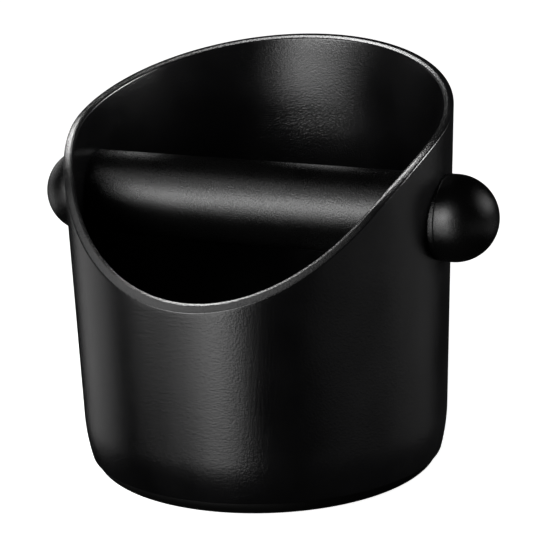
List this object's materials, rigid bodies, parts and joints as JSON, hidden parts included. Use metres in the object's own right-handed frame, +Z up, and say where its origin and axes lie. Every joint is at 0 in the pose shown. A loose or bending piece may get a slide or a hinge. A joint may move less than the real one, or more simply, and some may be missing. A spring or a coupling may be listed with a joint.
{
  "type": "espresso knock box",
  "caption": "Round tapered knock bin with a slanted rim, a rubber-covered cross bar with a round knob at each side, and a rubber foot ring.",
  "frame": {"origin": "centre of the foot ring's resting face, on the bin's axis; the bounding box's bottom centre lies within 1.2 mm of it", "axes": "+Z up, the knock bar along X with the longer knob at +X, the low front of the rim towards -Y"},
  "size_m": [0.1605, 0.1277, 0.1337],
  "materials": {
    "abs_shell": "black moulded ABS, fine spark texture, satin",
    "foot_rubber": "dull black rubber",
    "core_steel": "ground steel bar",
    "sleeve_rubber": "black rubber, fine grain, satin",
    "knob_rubber": "black rubber, fine grain, satin",
    "insert_plastic": "dark grey hard plastic"
  },
  "bodies": {
    "bin": {"bin_body": "abs_shell", "base_ring": "foot_rubber"},
    "left_end": {"left_knob": "knob_rubber", "left_knob_insert": "insert_plastic"},
    "knock_bar": {"bar_core": "core_steel", "bar_sleeve": "sleeve_rubber", "right_knob": "knob_rubber", "right_knob_insert": "insert_plastic"}
  },
  "joints": [
    {"name": "bar_spin", "type": "hinge", "parent": "bin", "child": "left_end", "pos_m": [0, 0.004, 0.0883], "axis": [1, 0, 0], "continuous": true},
    {"name": "bar_slide", "type": "slide", "parent": "left_end", "child": "knock_bar", "axis": [1, 0, 0], "range_m": [0, 0.14]}
  ]
}
